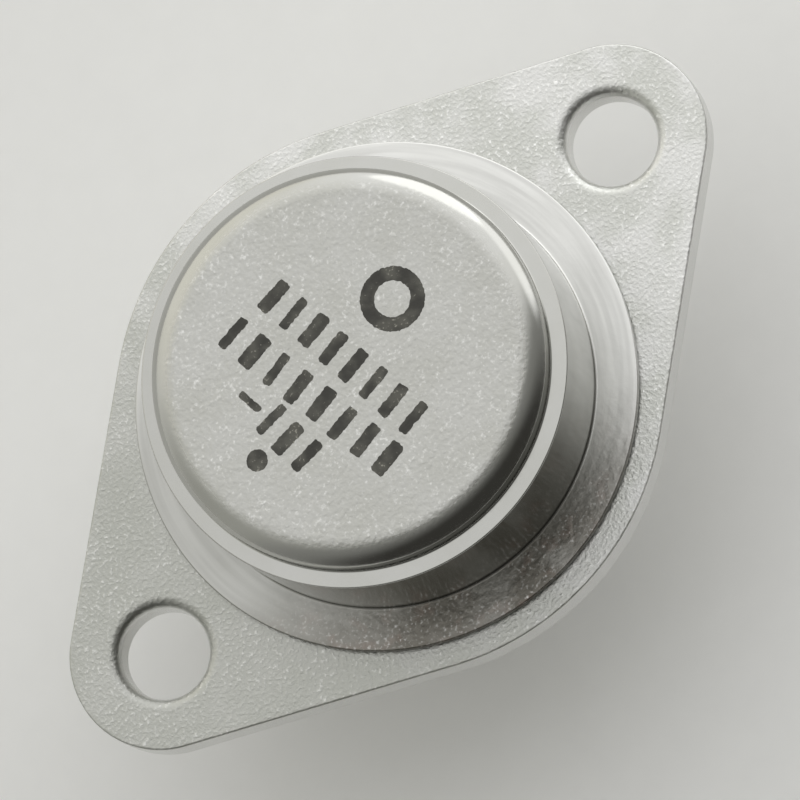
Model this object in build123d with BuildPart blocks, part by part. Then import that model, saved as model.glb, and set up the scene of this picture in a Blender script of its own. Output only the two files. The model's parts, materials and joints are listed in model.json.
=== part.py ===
from build123d import *

import math
import os
from dataclasses import dataclass

# Hybrid voltage regulator in a two-lead steel can with a rhombic base plate.
#
# Frame: +X runs along the line of the two mounting holes, +Z points up the can's axis, and the origin is
# the centre of the seating face, midway between the holes. All lengths are in millimetres.
#
# A stamped base plate carries two glass-sealed leads. A copper heat spreader is brazed to it, a printed
# ceramic tile is soldered to the spreader, and three chips sit on the tile's conductor pads. Aluminium
# bond wires join the chips, the pads and the leads, and a drawn cap is welded over them all.

# Base plate
hole_spacing = 30.15
mounting_hole_radius = 2.03
hole_rim_chamfer = 0.25
side_radius = 12.55
end_radius = 4.35
base_thickness = 1.52
base_edge_chamfer = 0.2

# Leads and their glass seals
lead_spacing = 10.92
lead_row_offset = 1.82
lead_radius = 0.5
lead_length = 11.2
lead_tip_chamfer = 0.2
lead_head_radius = 0.95
lead_head_thickness = 0.35
lead_head_top = 3.4
eyelet_radius = 1.5
seal_recess = 0.14
seal_climb = 0.1

# Cap, drawn from one sheet, with its heights measured from the top of the base plate
cap_sheet = 0.43
cap_height = 7.56
cap_wall_radius = 9.55
cap_top_round = 1.0
shoulder_width = 0.65
shoulder_drop = 1.51
shoulder_slope = 0.06
shoulder_edge_chamfer = 0.08
cap_foot_chamfer = 0.3
flange_radius = 11.45
weld_outer_radius = 10.95
flange_lift = 0.1

# Heat spreader and its braze
spreader_margin = 0.25
spreader_thickness = 0.9
spreader_corner_round = 0.6
spreader_edge_chamfer = 0.1
braze_thickness = 0.06
braze_margin = 0.12

# Ceramic tile, its solder and its printed areas
tile_thickness = 0.64
tile_margin = 0.3
solder_thickness = 0.06
solder_margin = 0.1
print_thickness = 0.04
print_gap = 0.4
chip_margin = 0.35
input_strip = 1.9
output_pad_width = 0.8
emitter_pad_length = 1.2
ground_strip = 0.9
driver_strip = 0.85
driver_margin = 0.2
resistor_pad_length = 0.7
resistor_pad_width = 0.75
sense_resistor_length = 1.4
film_resistor_width = 0.5

# Chips and the solder under them
pass_chip_size = 4.0
control_chip_length = 2.3
control_chip_width = 1.8
driver_chip_size = 0.95
chip_thickness = 0.35
attach_thickness = 0.05
attach_margin = 0.08

# Bond wires
power_wire_diameter = 0.3
power_wire_pitch = 0.56
power_loop_rise = 0.75
emitter_wire_pitch = 1.1
emitter_wire_count = 3
emitter_bond_inset = 1.0
base_bond_inset = 0.45
control_wire_diameter = 0.1
control_loop_rise = 0.4
ground_bond_gap = 0.8
power_bond_inset = 0.55
fine_bond_inset = 0.2

# Shape of a bond's foot, as multiples of its wire's diameter
foot_length_ratio = 2.2
foot_width_ratio = 1.45
foot_height_ratio = 0.65
foot_corner_ratio = 0.3

# A loop: how steeply it leaves its feet, how far its middle is raised, and the sides of its section
loop_angle = 60
loop_crown = 0.12
wire_sides = 6


@dataclass
class Patch:
    """A flat rectangle that something is bonded to, given by its low corner, its lengths and its height."""

    x_low: float
    y_low: float
    length: float
    width: float
    top: float

    @property
    def x_high(self):
        """The patch's right edge."""
        return self.x_low + self.length

    @property
    def y_high(self):
        """The patch's back edge."""
        return self.y_low + self.width

    @property
    def centre(self):
        """The patch's middle, seen from above."""
        return (self.x_low + self.length / 2, self.y_low + self.width / 2)

    def near_corner(self, x_inset, y_inset):
        """A point whose insets count from the low edges, or from the high edges where they are negative."""
        x_edge = self.x_low if x_inset >= 0 else self.x_high
        y_edge = self.y_low if y_inset >= 0 else self.y_high
        return Vector(x_edge + x_inset, y_edge + y_inset, self.top)

    def across_from(self, place, y_inset):
        """The point at the same X as another place, near the patch's front or back edge."""
        return Vector(place.X, self.near_corner(0, y_inset).Y, self.top)

    def middle(self):
        """The patch's middle point."""
        return Vector(*self.centre, self.top)


# Heights of the stack inside the can
spreader_base = base_thickness + braze_thickness
solder_base = spreader_base + spreader_thickness
tile_base = solder_base + solder_thickness
print_base = tile_base + tile_thickness
pad_top = print_base + print_thickness
chip_base = pad_top + attach_thickness
chip_top = chip_base + chip_thickness
cap_top = base_thickness + cap_height

# The printed areas set the tile's size: the pass chip's on the left, and the small chips' on the right
collector_length = input_strip + pass_chip_size + chip_margin
collector_width = pass_chip_size + 2 * chip_margin
ground_length = control_chip_length + 2 * chip_margin + ground_strip
driver_length = driver_strip + driver_chip_size + driver_margin
driver_width = driver_chip_size + 2 * driver_margin
printed_length = collector_length + emitter_pad_length + ground_length + 2 * print_gap
printed_width = collector_width + print_gap + output_pad_width
tile_length = printed_length + 2 * tile_margin
tile_width = printed_width + 2 * tile_margin
spreader_length = tile_length + 2 * spreader_margin
spreader_width = tile_width + 2 * spreader_margin
left = -printed_length / 2
right = printed_length / 2
front = -printed_width / 2
back = printed_width / 2

tile = Patch(-tile_length / 2, -tile_width / 2, tile_length, tile_width, print_base)

# Conductor pads
collector_pad = Patch(left, front, collector_length, collector_width, pad_top)
emitter_x = collector_pad.x_high + print_gap
emitter_pad = Patch(emitter_x, front, emitter_pad_length, printed_width, pad_top)
output_length = emitter_x - sense_resistor_length - left
output_pad = Patch(left, back - output_pad_width, output_length, output_pad_width, pad_top)
small_x = emitter_pad.x_high + print_gap
driver_pad = Patch(small_x, front, driver_length, driver_width, pad_top)
ground_y = driver_pad.y_high + print_gap
ground_width = back - resistor_pad_width - print_gap - ground_y
ground_pad = Patch(small_x, ground_y, ground_length, ground_width, pad_top)
film_resistor_length = (ground_length - 3 * resistor_pad_length) / 2
resistor_pitch = resistor_pad_length + film_resistor_length
resistor_y = back - resistor_pad_width
resistor_pads = [
    Patch(small_x + step * resistor_pitch, resistor_y, resistor_pad_length, resistor_pad_width, pad_top)
    for step in range(3)
]
pads = [collector_pad, emitter_pad, output_pad, driver_pad, ground_pad, *resistor_pads]

# Printed resistors, each filling the gap between two pads
sense_resistor_patch = Patch(
    output_pad.x_high, output_pad.y_low, sense_resistor_length, output_pad_width, pad_top
)
film_y = resistor_y + (resistor_pad_width - film_resistor_width) / 2
film_patches = [
    Patch(pad.x_high, film_y, film_resistor_length, film_resistor_width, pad_top)
    for pad in resistor_pads[:2]
]

# Chips on their pads
pass_chip = Patch(
    collector_pad.x_high - chip_margin - pass_chip_size,
    collector_pad.y_low + chip_margin,
    pass_chip_size,
    pass_chip_size,
    chip_top,
)
control_chip = Patch(
    ground_pad.x_low + chip_margin,
    ground_pad.centre[1] - control_chip_width / 2,
    control_chip_length,
    control_chip_width,
    chip_top,
)
driver_chip = Patch(
    driver_pad.x_high - driver_margin - driver_chip_size,
    driver_pad.y_low + driver_margin,
    driver_chip_size,
    driver_chip_size,
    chip_top,
)
chips = [pass_chip, control_chip, driver_chip]

# Leads: the input lead stands at the front of the can and the output lead at the back
lead_x = -lead_row_offset
lead_places = {"input": -lead_spacing / 2, "output": lead_spacing / 2}


def plates(patches, base, thickness, margin=0.0):
    """Make a flat plate over each patch, wider than it by a margin all round."""
    with BuildPart() as layer:
        with BuildSketch(Plane.XY.offset(base)):
            for patch in patches:
                with Locations(patch.centre):
                    Rectangle(patch.length + 2 * margin, patch.width + 2 * margin)
        extrude(amount=thickness)
    return layer.part


def bond_wire(start, end, diameter, rise):
    """Make one wire that is bonded at both ends, each end squashed to a flat foot on its face."""
    foot_height = foot_height_ratio * diameter
    reach = Vector(end.X - start.X, end.Y - start.Y, 0)
    step = end.Z - start.Z
    knee = max(step, 0) + rise
    slope = math.tan(math.radians(loop_angle))
    knee_in = (knee - foot_height / 2) / slope
    knee_out = reach.length - (knee - step - foot_height / 2) / slope
    with BuildPart() as wire:
        with BuildLine(Plane(start, x_dir=reach, z_dir=reach.cross(Vector(0, 0, 1)))) as loop:
            Polyline(
                (0, foot_height / 2),
                (knee_in, knee),
                ((knee_in + knee_out) / 2, knee + loop_crown),
                (knee_out, knee),
                (reach.length, step + foot_height / 2),
            )
        with BuildSketch(Plane(loop.line @ 0, z_dir=loop.line % 0)):
            RegularPolygon(diameter / 2, wire_sides)
        sweep(transition=Transition.RIGHT)
        for place in (start, end):
            with BuildSketch(Plane(place, x_dir=reach, z_dir=(0, 0, 1))) as foot:
                Rectangle(foot_length_ratio * diameter, foot_width_ratio * diameter)
                chamfer(foot.vertices(), length=foot_corner_ratio * diameter)
            extrude(amount=foot_height)
    return wire.part


def power_wires(start, end, count, pitch=0.0):
    """Make heavy wires side by side between two places, spaced across their run."""
    across = Vector(start.Y - end.Y, end.X - start.X, 0).normalized()
    shifts = [across * ((index - (count - 1) / 2) * pitch) for index in range(count)]
    return [
        bond_wire(start + shift, end + shift, power_wire_diameter, power_loop_rise) for shift in shifts
    ]


# Base plate: the hull of the can's round middle and the two ears, stamped so that its top edges are broken
with BuildPart() as base_plate:
    with BuildSketch():
        Circle(side_radius)
        with GridLocations(hole_spacing, 0, 2, 1):
            Circle(end_radius)
        make_hull()
    extrude(amount=base_thickness)
    chamfer(base_plate.faces().sort_by(Axis.Z)[-1].edges(), length=base_edge_chamfer)
    with Locations(Plane.XY.offset(base_thickness)):
        with GridLocations(hole_spacing, 0, 2, 1):
            Hole(mounting_hole_radius)
    chamfer(base_plate.faces().sort_by(Axis.Z)[-1].inner_wires().edges(), length=hole_rim_chamfer)
    with Locations(Plane.XY.offset(base_thickness)):
        with Locations(*((lead_x, lead_y) for lead_y in lead_places.values())):
            Hole(eyelet_radius)

# Cap: one drawn sheet of even thickness, its flange lifted outside the weld
flange_top = base_thickness + cap_sheet
riser_radius = cap_wall_radius - shoulder_width
shoulder_edge = cap_top - shoulder_drop
shoulder_root = shoulder_edge + shoulder_slope
inner_bevel = (cap_top_round - cap_sheet) * (2 - math.sqrt(2))
with BuildPart() as cap:
    with BuildSketch(Plane.XZ):
        with BuildLine():
            outside = FilletPolyline(
                (0, cap_top),
                (riser_radius, cap_top),
                (riser_radius, shoulder_root),
                (cap_wall_radius, shoulder_edge),
                (cap_wall_radius, flange_top),
                (flange_radius, flange_top),
                radius=[cap_top_round, 0, 0, 0],
            )
            Polyline(
                outside @ 1,
                (flange_radius, base_thickness + flange_lift),
                (weld_outer_radius, base_thickness + flange_lift),
                (weld_outer_radius, base_thickness),
                (cap_wall_radius - cap_sheet, base_thickness),
                (cap_wall_radius - cap_sheet, shoulder_edge - cap_sheet),
                (riser_radius - cap_sheet, shoulder_root - cap_sheet),
                (riser_radius - cap_sheet, cap_top - cap_sheet - inner_bevel),
                (riser_radius - cap_sheet - inner_bevel, cap_top - cap_sheet),
                (0, cap_top - cap_sheet),
                outside @ 0,
            )
        make_face()
    revolve(axis=Axis.Z)
    rims = cap.edges().filter_by(GeomType.CIRCLE)
    foot = rims.filter_by_position(Axis.Z, flange_top, flange_top).group_by(SortBy.RADIUS)[0]
    chamfer(foot, length=cap_foot_chamfer)
    rims = cap.edges().filter_by(GeomType.CIRCLE)
    shoulder_rim = rims.filter_by_position(Axis.Z, shoulder_edge, shoulder_edge)
    chamfer(shoulder_rim, length=shoulder_edge_chamfer)

# Leads and their seals: straight pins with nail heads, each in a glass bead fused into its hole
leads = {}
seals = {}
for lead_name, lead_y in lead_places.items():
    with BuildPart() as lead:
        with BuildSketch(Plane.XY.offset(-lead_length)):
            with Locations((lead_x, lead_y)):
                Circle(lead_radius)
        extrude(amount=lead_length + lead_head_top)
        with BuildSketch(Plane.XY.offset(lead_head_top - lead_head_thickness)):
            with Locations((lead_x, lead_y)):
                Circle(lead_head_radius)
        extrude(amount=lead_head_thickness)
        chamfer(lead.faces().sort_by(Axis.Z)[0].edges(), length=lead_tip_chamfer)
    leads[f"lead_{lead_name}"] = lead.part

    with BuildPart() as seal:
        with BuildSketch(Plane((lead_x, lead_y, 0), x_dir=(1, 0, 0), z_dir=(0, -1, 0))):
            with BuildLine():
                Polyline(
                    (lead_radius, seal_recess - seal_climb),
                    (eyelet_radius, seal_recess),
                    (eyelet_radius, base_thickness - seal_recess),
                    (lead_radius, base_thickness - seal_recess + seal_climb),
                    close=True,
                )
            make_face()
        revolve(axis=Axis((lead_x, lead_y, 0), (0, 0, 1)))
    seals[f"glass_seal_{lead_name}"] = seal.part

# Heat spreader, brazed to the base plate
with BuildPart() as heat_spreader:
    with BuildSketch(Plane.XY.offset(spreader_base)):
        RectangleRounded(spreader_length, spreader_width, spreader_corner_round)
    extrude(amount=spreader_thickness)
    chamfer(heat_spreader.faces().sort_by(Axis.Z)[-1].edges(), length=spreader_edge_chamfer)

with BuildPart() as spreader_braze:
    with BuildSketch(Plane.XY.offset(base_thickness)):
        RectangleRounded(
            spreader_length + 2 * braze_margin,
            spreader_width + 2 * braze_margin,
            spreader_corner_round + braze_margin,
        )
    extrude(amount=braze_thickness)

# Heavy wires, which carry the load current from the input lead to the output lead, and one to the case
input_head = Vector(lead_x, lead_places["input"], lead_head_top)
output_head = Vector(lead_x, lead_places["output"], lead_head_top)
pad_middle = output_pad_width / 2
emitter_bond_y = pass_chip.centre[1]
case_bond_x = spreader_length / 2 + ground_bond_gap + foot_length_ratio * power_wire_diameter / 2
ground_bond = Vector(ground_pad.x_high - ground_strip / 2, ground_pad.centre[1], pad_top)
heavy_wires = {
    "input_bond_wires": power_wires(
        input_head, collector_pad.near_corner(input_strip / 2, power_bond_inset), 2, power_wire_pitch
    ),
    "emitter_bond_wires": power_wires(
        Vector(pass_chip.x_high - emitter_bond_inset, emitter_bond_y, chip_top),
        Vector(emitter_pad.centre[0], emitter_bond_y, pad_top),
        emitter_wire_count,
        emitter_wire_pitch,
    ),
    "output_bond_wires": power_wires(
        output_pad.across_from(output_head, pad_middle), output_head, 2, power_wire_pitch
    ),
    "ground_bond_wire": power_wires(ground_bond, Vector(case_bond_x, ground_bond.Y, base_thickness), 1),
}

# Fine wires of the control circuit
strip_middle = driver_strip / 2
sense_bond_y = emitter_bond_y + emitter_wire_pitch / 2
driver_base = driver_chip.middle()
driver_output = driver_chip.near_corner(fine_bond_inset, driver_chip_size / 2)
feed_start = driver_pad.near_corner(strip_middle, fine_bond_inset)
feed_end = driver_pad.near_corner(strip_middle, -fine_bond_inset)
output_end, feedback, ground_end = (pad.middle() for pad in resistor_pads)
fine_runs = [
    # The control chip drives the driver chip, which drives the pass chip's base
    (control_chip.across_from(driver_base, fine_bond_inset), driver_base),
    (driver_output, pass_chip.near_corner(-base_bond_inset, base_bond_inset)),
    # Both small chips are fed from the collector pad
    (collector_pad.near_corner(-chip_margin / 2, chip_margin / 2), feed_start),
    (feed_end, control_chip.near_corner(strip_middle, fine_bond_inset)),
    # The control chip reads the current at the sense resistor and the voltage between the film resistors
    (
        Vector(control_chip.x_low + fine_bond_inset, sense_bond_y, chip_top),
        Vector(emitter_pad.x_high - fine_bond_inset, sense_bond_y, pad_top),
    ),
    (control_chip.across_from(feedback, -fine_bond_inset), feedback),
    # The film resistors run from the output pad to ground
    (output_pad.near_corner(-fine_bond_inset, pad_middle), output_end),
    (ground_pad.across_from(ground_end, -fine_bond_inset), ground_end),
]
wire_groups = {
    **heavy_wires,
    "control_bond_wires": [
        bond_wire(start, end, control_wire_diameter, control_loop_rise)
        for start, end in fine_runs
    ],
}

pieces = {
    "base_plate": base_plate.part,
    "cap": cap.part,
    **leads,
    **seals,
    "heat_spreader": heat_spreader.part,
    "spreader_braze": spreader_braze.part,
    "substrate_solder": plates([tile], solder_base, solder_thickness, solder_margin),
    "ceramic_substrate": plates([tile], tile_base, tile_thickness),
    "conductor_pads": plates(pads, print_base, print_thickness),
    "sense_resistor": plates([sense_resistor_patch], print_base, print_thickness),
    "film_resistors": plates(film_patches, print_base, print_thickness),
    "die_attach": plates(chips, pad_top, attach_thickness, attach_margin),
    "pass_transistor_chip": plates([pass_chip], chip_base, chip_thickness),
    "driver_transistor_chip": plates([driver_chip], chip_base, chip_thickness),
    "control_chip": plates([control_chip], chip_base, chip_thickness),
}
for name, wires in wire_groups.items():
    with BuildPart() as wire_group:
        add(wires)
    pieces[name] = wire_group.part

os.makedirs("parts", exist_ok=True)
for name, piece in pieces.items():
    piece.label = name
    export_step(piece, f"parts/{name}.step")
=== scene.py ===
"""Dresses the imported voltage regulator: a plated can, welded to a plate that holds two glass-sealed leads."""

import json
import logging
import math
from dataclasses import dataclass, field
from enum import Enum
from functools import partial
from typing import Callable, Sequence

import bmesh
import bpy
from mathutils import Matrix, Vector
from mathutils.geometry import tessellate_polygon


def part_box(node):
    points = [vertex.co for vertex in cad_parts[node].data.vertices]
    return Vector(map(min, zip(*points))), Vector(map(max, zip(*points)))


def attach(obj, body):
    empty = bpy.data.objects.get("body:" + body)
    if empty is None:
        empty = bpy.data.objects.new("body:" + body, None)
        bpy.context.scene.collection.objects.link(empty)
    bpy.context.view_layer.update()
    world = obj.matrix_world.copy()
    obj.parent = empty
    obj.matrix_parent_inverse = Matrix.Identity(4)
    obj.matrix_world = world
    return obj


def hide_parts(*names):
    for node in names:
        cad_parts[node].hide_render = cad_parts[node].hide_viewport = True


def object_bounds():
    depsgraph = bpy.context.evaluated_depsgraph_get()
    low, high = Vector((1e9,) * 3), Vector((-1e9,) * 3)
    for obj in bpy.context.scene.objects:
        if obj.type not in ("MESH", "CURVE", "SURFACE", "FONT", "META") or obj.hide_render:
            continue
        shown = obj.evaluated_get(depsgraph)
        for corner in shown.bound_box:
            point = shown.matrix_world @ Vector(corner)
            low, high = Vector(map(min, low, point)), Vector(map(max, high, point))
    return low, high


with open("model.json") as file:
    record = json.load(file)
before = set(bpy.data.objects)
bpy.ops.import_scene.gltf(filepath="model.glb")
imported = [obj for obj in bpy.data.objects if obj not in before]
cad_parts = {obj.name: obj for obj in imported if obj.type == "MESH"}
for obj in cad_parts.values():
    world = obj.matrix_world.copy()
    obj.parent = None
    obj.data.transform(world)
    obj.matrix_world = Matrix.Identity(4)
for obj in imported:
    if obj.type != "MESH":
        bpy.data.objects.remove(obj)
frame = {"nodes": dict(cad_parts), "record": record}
CAD_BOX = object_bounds()

MM = 0.001
BODY = "root"
MOUNTS = {mount["name"]: mount for mount in frame["record"]["mounts"]}

# The radius of the plate's two small holes, which the glass fills, in millimetres
EYELET_RADIUS = 1.5

# The setting of a Map Range node that changes gently at both ends
EASED = {"interpolation_type": "SMOOTHSTEP"}

# The range that most of a noise's values lie in, and the range that nearly all do
MIDDLE = (0.3, 0.7)
WIDE = (0.2, 0.8)

log = logging.getLogger("regulator")

Colour = tuple[float, float, float, float]
Levels = tuple[float, float]
Inputs = dict[str, object] | Sequence[object]


class LeadName(Enum):
    """The two leads of the can."""

    INPUT = "input"
    OUTPUT = "output"

    @property
    def mount(self) -> dict:
        """The lead's mount in the record."""
        return MOUNTS[f"lead_{self.value}_pin"]

    @property
    def axis(self) -> tuple[float, float]:
        """Where the lead's axis stands, in millimetres."""
        x, y, _ = self.mount["pos_m"]
        return x / MM, y / MM


# -----------------------------------------------------------------------------------------------
# Measures and small tools
# -----------------------------------------------------------------------------------------------


def linear(hex_colour: str) -> Colour:
    """Turns an sRGB hex colour to the linear values that a shader takes.

    Args:
        hex_colour: Six hex digits after a number sign.

    Returns:
        The linear red, green and blue, and an alpha of 1.
    """
    parts = [int(hex_colour[start:start + 2], 16) / 255 for start in (1, 3, 5)]
    red, green, blue = (p / 12.92 if p <= 0.04045 else ((p + 0.055) / 1.055) ** 2.4 for p in parts)
    return red, green, blue, 1.0


def direction(heading: float, elevation: float) -> Vector:
    """Gives the unit vector towards a heading and an elevation.

    Args:
        heading: The angle from +X towards +Y, in degrees.
        elevation: The angle above the horizon, in degrees.

    Returns:
        The vector.
    """
    turn = math.radians(heading)
    rise = math.radians(elevation)
    return Vector((math.cos(rise) * math.cos(turn), math.cos(rise) * math.sin(turn), math.sin(rise)))


def node_box(name: str) -> tuple[Vector, Vector]:
    """Gives a CAD node's box in millimetres.

    Args:
        name: The CAD node's name.

    Returns:
        Its lowest and its highest corner.
    """
    low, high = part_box(name)
    return low / MM, high / MM


def add_node(tree: bpy.types.NodeTree, kind: str, inputs: Inputs = (), **settings: object) -> bpy.types.Node:
    """Adds a node with its settings, values and links.

    Args:
        tree: The tree that gets the node.
        kind: The node's type name.
        inputs: A value, node or socket for each input, by name or in order. Only the sockets that the
            settings leave in use count, and a node stands for its first output.
        settings: The node's own settings.

    Returns:
        The new node.
    """
    made = tree.nodes.new(kind)
    for name, value in settings.items():
        setattr(made, name, value)
    sockets = [socket for socket in made.inputs if socket.enabled]
    if isinstance(inputs, dict):
        named = {socket.name: socket for socket in sockets}
        pairs = [(named[name], value) for name, value in inputs.items()]
    else:
        pairs = list(zip(sockets, inputs))
    for socket, value in pairs:
        if isinstance(value, bpy.types.Node):
            value = next(output for output in value.outputs if output.enabled)
        if isinstance(value, bpy.types.NodeSocket):
            tree.links.new(value, socket)
        else:
            socket.default_value = value
    return made


def add_object(name: str, data: bpy.types.ID) -> bpy.types.Object:
    """Puts a new object into the scene.

    Args:
        name: The object's name.
        data: Its mesh, lamp or camera.

    Returns:
        The object.
    """
    made = bpy.data.objects.new(name, data)
    bpy.context.scene.collection.objects.link(made)
    return made


def finish_piece(
    piece: bpy.types.Object, replaced: Sequence[str] = ()
) -> bpy.types.Object:
    """Hands a finished piece to the frame.

    Args:
        piece: The piece, in place.
        replaced: The CAD nodes that it stands for.

    Returns:
        The piece.
    """
    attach(piece, BODY)
    if replaced:
        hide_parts(*replaced)
    return piece


@dataclass(frozen=True)
class Corner:
    """A corner of a section: how far out and how high it lies, and its rounding, in millimetres."""

    out: float
    up: float
    radius: float = 0.0

    @property
    def point(self) -> Vector:
        """The corner before it is rounded."""
        return Vector((self.out, self.up))


@dataclass(frozen=True)
class Section:
    """A section through a turned or stamped piece, drawn as corners with roundings."""

    corners: Sequence[Corner]
    closed: bool = False
    step_degrees: float = 7.5
    fewest_steps: int = 2
    hold: float = 0.03

    def points(self) -> list[Vector]:
        """Draws the section as points.

        A point is also held close to each end of a straight run, so that smooth shading stays in the
        roundings.

        Returns:
            The section's points in order, in millimetres.
        """
        drawn: list[Vector] = []
        last = len(self.corners) - 1
        for index, corner in enumerate(self.corners):
            is_end = not self.closed and index in (0, last)
            arc = [corner.point] if is_end or not corner.radius else self._arc(index)
            if drawn:
                drawn.extend(self._holds(drawn[-1], arc[0]))
            drawn.extend(arc)
        if self.closed:
            drawn.extend(self._holds(drawn[-1], drawn[0]))
            drawn.append(drawn[0].copy())
        return drawn

    def _arc(self, index: int) -> list[Vector]:
        """Rounds one corner.

        Args:
            index: The corner's number.

        Returns:
            The points of its arc.
        """
        corner = self.corners[index]
        before = self.corners[index - 1].point - corner.point
        after = self.corners[(index + 1) % len(self.corners)].point - corner.point
        turn = math.pi - before.angle(after)
        start = before.normalized() * (corner.radius * math.tan(turn / 2))
        inward = (before.normalized() + after.normalized()).normalized()
        middle = inward * (corner.radius / math.cos(turn / 2))
        steps = max(self.fewest_steps, round(math.degrees(turn) / self.step_degrees))
        sweep = turn if before.x * after.y - before.y * after.x < 0 else -turn
        spoke = start - middle
        return [
            corner.point + middle + Matrix.Rotation(sweep * number / steps, 2) @ spoke
            for number in range(steps + 1)
        ]

    def _holds(self, start: Vector, end: Vector) -> list[Vector]:
        """Gives the points held near both ends of a straight run, or none on a short one.

        Args:
            start: Where the run starts.
            end: Where it ends.

        Returns:
            Two points, or an empty list.
        """
        run = end - start
        shortest = 4 * self.hold
        if run.length < shortest:
            return []
        shift = run.normalized() * self.hold
        return [start + shift, end - shift]


# -----------------------------------------------------------------------------------------------
# Finishes
# -----------------------------------------------------------------------------------------------


class Painter:
    """Draws one material's patterns, with the piece's own coordinates in millimetres at hand."""

    # The noise levels between which a painted glint's speck and a cluster come up, and how much shows between
    # clusters
    FLECK_LEVELS: Levels = (0.52, 0.82)
    CLUSTER_LEVELS: Levels = (0.35, 0.65)
    CLUSTER_SHARE: Levels = (0.3, 1.0)

    def __init__(self, name: str) -> None:
        """Starts a material.

        Args:
            name: The material's name.
        """
        self.material = bpy.data.materials.new(name)
        self.material.use_nodes = True
        self.tree = self.material.node_tree
        self.tree.nodes.clear()
        place = self.add("ShaderNodeTexCoord")
        self.normal = place.outputs["Normal"]
        self.mm = self.add(
            "ShaderNodeVectorMath", [place.outputs["Object"], (1 / MM,) * 3], operation="MULTIPLY"
        )

    def add(self, kind: str, inputs: Inputs = (), **settings: object) -> bpy.types.Node:
        """Adds a node to the material's tree."""
        return add_node(self.tree, kind, inputs, **settings)

    def surface(self, inputs: dict[str, object]) -> bpy.types.Material:
        """Adds the surface's shader, which finishes the material.

        Args:
            inputs: A value, node or socket for each of the shader's inputs.

        Returns:
            The material.
        """
        shader = self.add("ShaderNodeBsdfPrincipled", inputs)
        self.add("ShaderNodeOutputMaterial", {"Surface": shader})
        return self.material

    def facing(self) -> bpy.types.NodeSocket:
        """Measures how far the surface faces upwards, from -1 to 1."""
        return self.add("ShaderNodeSeparateXYZ", [self.normal]).outputs["Z"]

    def towards(self, heading: float) -> bpy.types.Node:
        """Measures how far a point lies from the middle towards a heading, in millimetres."""
        return self.add("ShaderNodeVectorMath", [self.mm, direction(heading, 0)], operation="DOT_PRODUCT")

    def spoke(self) -> bpy.types.Node:
        """Draws the level line from the can's axis to a point, in millimetres."""
        return self.add("ShaderNodeVectorMath", [self.mm, (1, 1, 0)], operation="MULTIPLY")

    def off_axis(self) -> bpy.types.Node:
        """Measures how far a point is from the can's axis, in millimetres."""
        return self.add("ShaderNodeVectorMath", [self.spoke()], operation="LENGTH")

    def blotches(self, size: float, detail: float = 2.0, length: float = 1.0) -> bpy.types.Node:
        """Scatters soft blotches.

        Args:
            size: The size of a blotch, in millimetres.
            detail: How many finer layers it has.
            length: How many times taller than wide it is.

        Returns:
            The node that gives their level, from 0 to 1.
        """
        place = self.add("ShaderNodeVectorMath", [self.mm, (1, 1, 1 / length)], operation="MULTIPLY")
        return self.add("ShaderNodeTexNoise", {"Vector": place, "Scale": 1 / size, "Detail": detail})

    def streaks(self, width: float, length: float) -> bpy.types.Node:
        """Draws streaks along circles round the can's axis.

        Args:
            width: How wide a streak is, in millimetres.
            length: How far round it reaches, in degrees.

        Returns:
            The node that gives their level, from 0 to 1.
        """
        out = self.add("ShaderNodeMath", [self.off_axis(), width], operation="DIVIDE")
        heading = self.add("ShaderNodeVectorMath", [self.spoke()], operation="NORMALIZE")
        spread = self.add("ShaderNodeVectorMath", [heading, 1 / math.radians(length)], operation="SCALE")
        parts = self.add("ShaderNodeSeparateXYZ", [spread])
        place = self.add("ShaderNodeCombineXYZ", [parts.outputs["X"], parts.outputs["Y"], out])
        return self.add("ShaderNodeTexNoise", {"Vector": place, "Scale": 1.0, "Detail": 2.0})

    def painted_glints(self, size: float, cluster: float) -> bpy.types.Node:
        """Scatters painted glints: bright specks in loose clusters, painted into the colour.

        Args:
            size: The size of a fleck, in millimetres.
            cluster: The size of a cluster, in millimetres.

        Returns:
            The node that gives each fleck's strength.
        """
        speck = self.blotches(size, detail=1.0)
        sparse = self.add("ShaderNodeMapRange", [speck, *self.FLECK_LEVELS], **EASED)
        crowd = self.blotches(cluster)
        share = self.add("ShaderNodeMapRange", [crowd, *self.CLUSTER_LEVELS, *self.CLUSTER_SHARE], **EASED)
        return self.add("ShaderNodeMath", [sparse, share], operation="MULTIPLY")


@dataclass(frozen=True)
class PlainFinish:
    """An even material with slight mottling and a fine relief, for the small pieces."""

    name: str
    colour: str
    mottle: str
    roughness: float
    metallic: float = 0.0
    grain: float = 0.2
    relief: float = 0.002
    spread: float = 0.15

    def material(self) -> bpy.types.Material:
        """Builds the material.

        Returns:
            The material.
        """
        paint = Painter(self.name)
        grain = paint.blotches(self.grain, detail=3.0)
        mottled = paint.add("ShaderNodeMapRange", [grain, *MIDDLE], **EASED)
        dullness = [self.roughness * (1 - self.spread), self.roughness * (1 + self.spread)]
        colours = [linear(self.colour), linear(self.mottle)]
        return paint.surface({
            "Base Color": paint.add("ShaderNodeMix", [mottled, *colours], data_type="RGBA"),
            "Metallic": self.metallic,
            "Roughness": paint.add("ShaderNodeMapRange", [grain, *WIDE, *dullness], **EASED),
            "Normal": paint.add("ShaderNodeBump", {"Height": grain, "Distance": self.relief * MM}),
        })


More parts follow.
